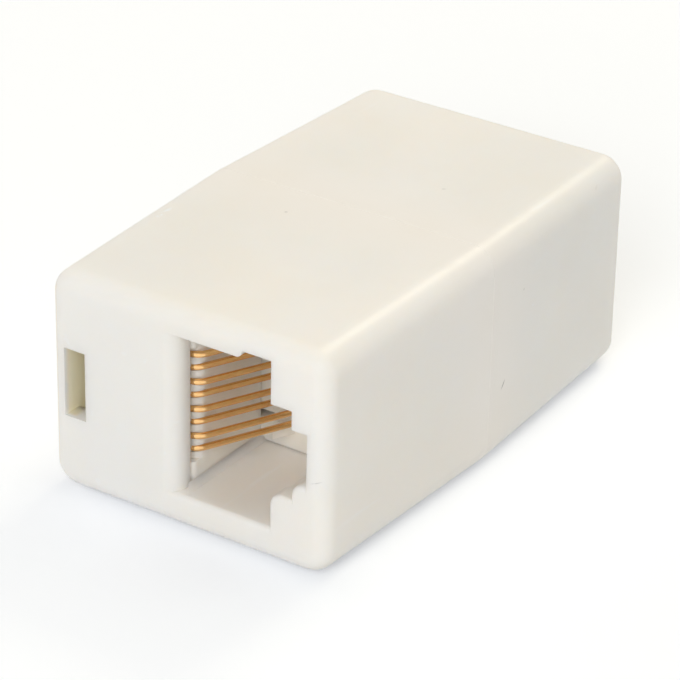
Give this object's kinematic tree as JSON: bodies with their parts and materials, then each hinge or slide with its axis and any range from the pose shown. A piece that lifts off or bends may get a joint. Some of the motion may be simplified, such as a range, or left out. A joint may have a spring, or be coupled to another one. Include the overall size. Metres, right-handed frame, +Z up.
{
  "type": "inline jack coupler",
  "caption": "Moulded inline coupler for modular plugs: two snapped-together halves with a keyed jack at each end and bent contact wires running straight through.",
  "frame": {"origin": "middle of the bottom, on the seam between the two halves", "axes": "+Y along the body, away from the front jack; +X towards the front jack's latch side; +Z up, to the key notch"},
  "size_m": [0.0234, 0.038, 0.0167],
  "materials": {
    "housing_plastic": "ivory moulded plastic, satin gloss",
    "insert_plastic": "off-white moulded plastic, matt",
    "contact_metal": "gold-plated round wire, polished"
  },
  "bodies": {
    "root": {"front_housing": "housing_plastic", "rear_housing": "housing_plastic", "front_contact_insert": "insert_plastic", "rear_contact_insert": "insert_plastic", "contact_wire_1": "contact_metal", "contact_wire_2": "contact_metal", "contact_wire_3": "contact_metal", "contact_wire_4": "contact_metal", "contact_wire_5": "contact_metal", "contact_wire_6": "contact_metal", "contact_wire_7": "contact_metal", "contact_wire_8": "contact_metal"}
  },
  "joints": []
}
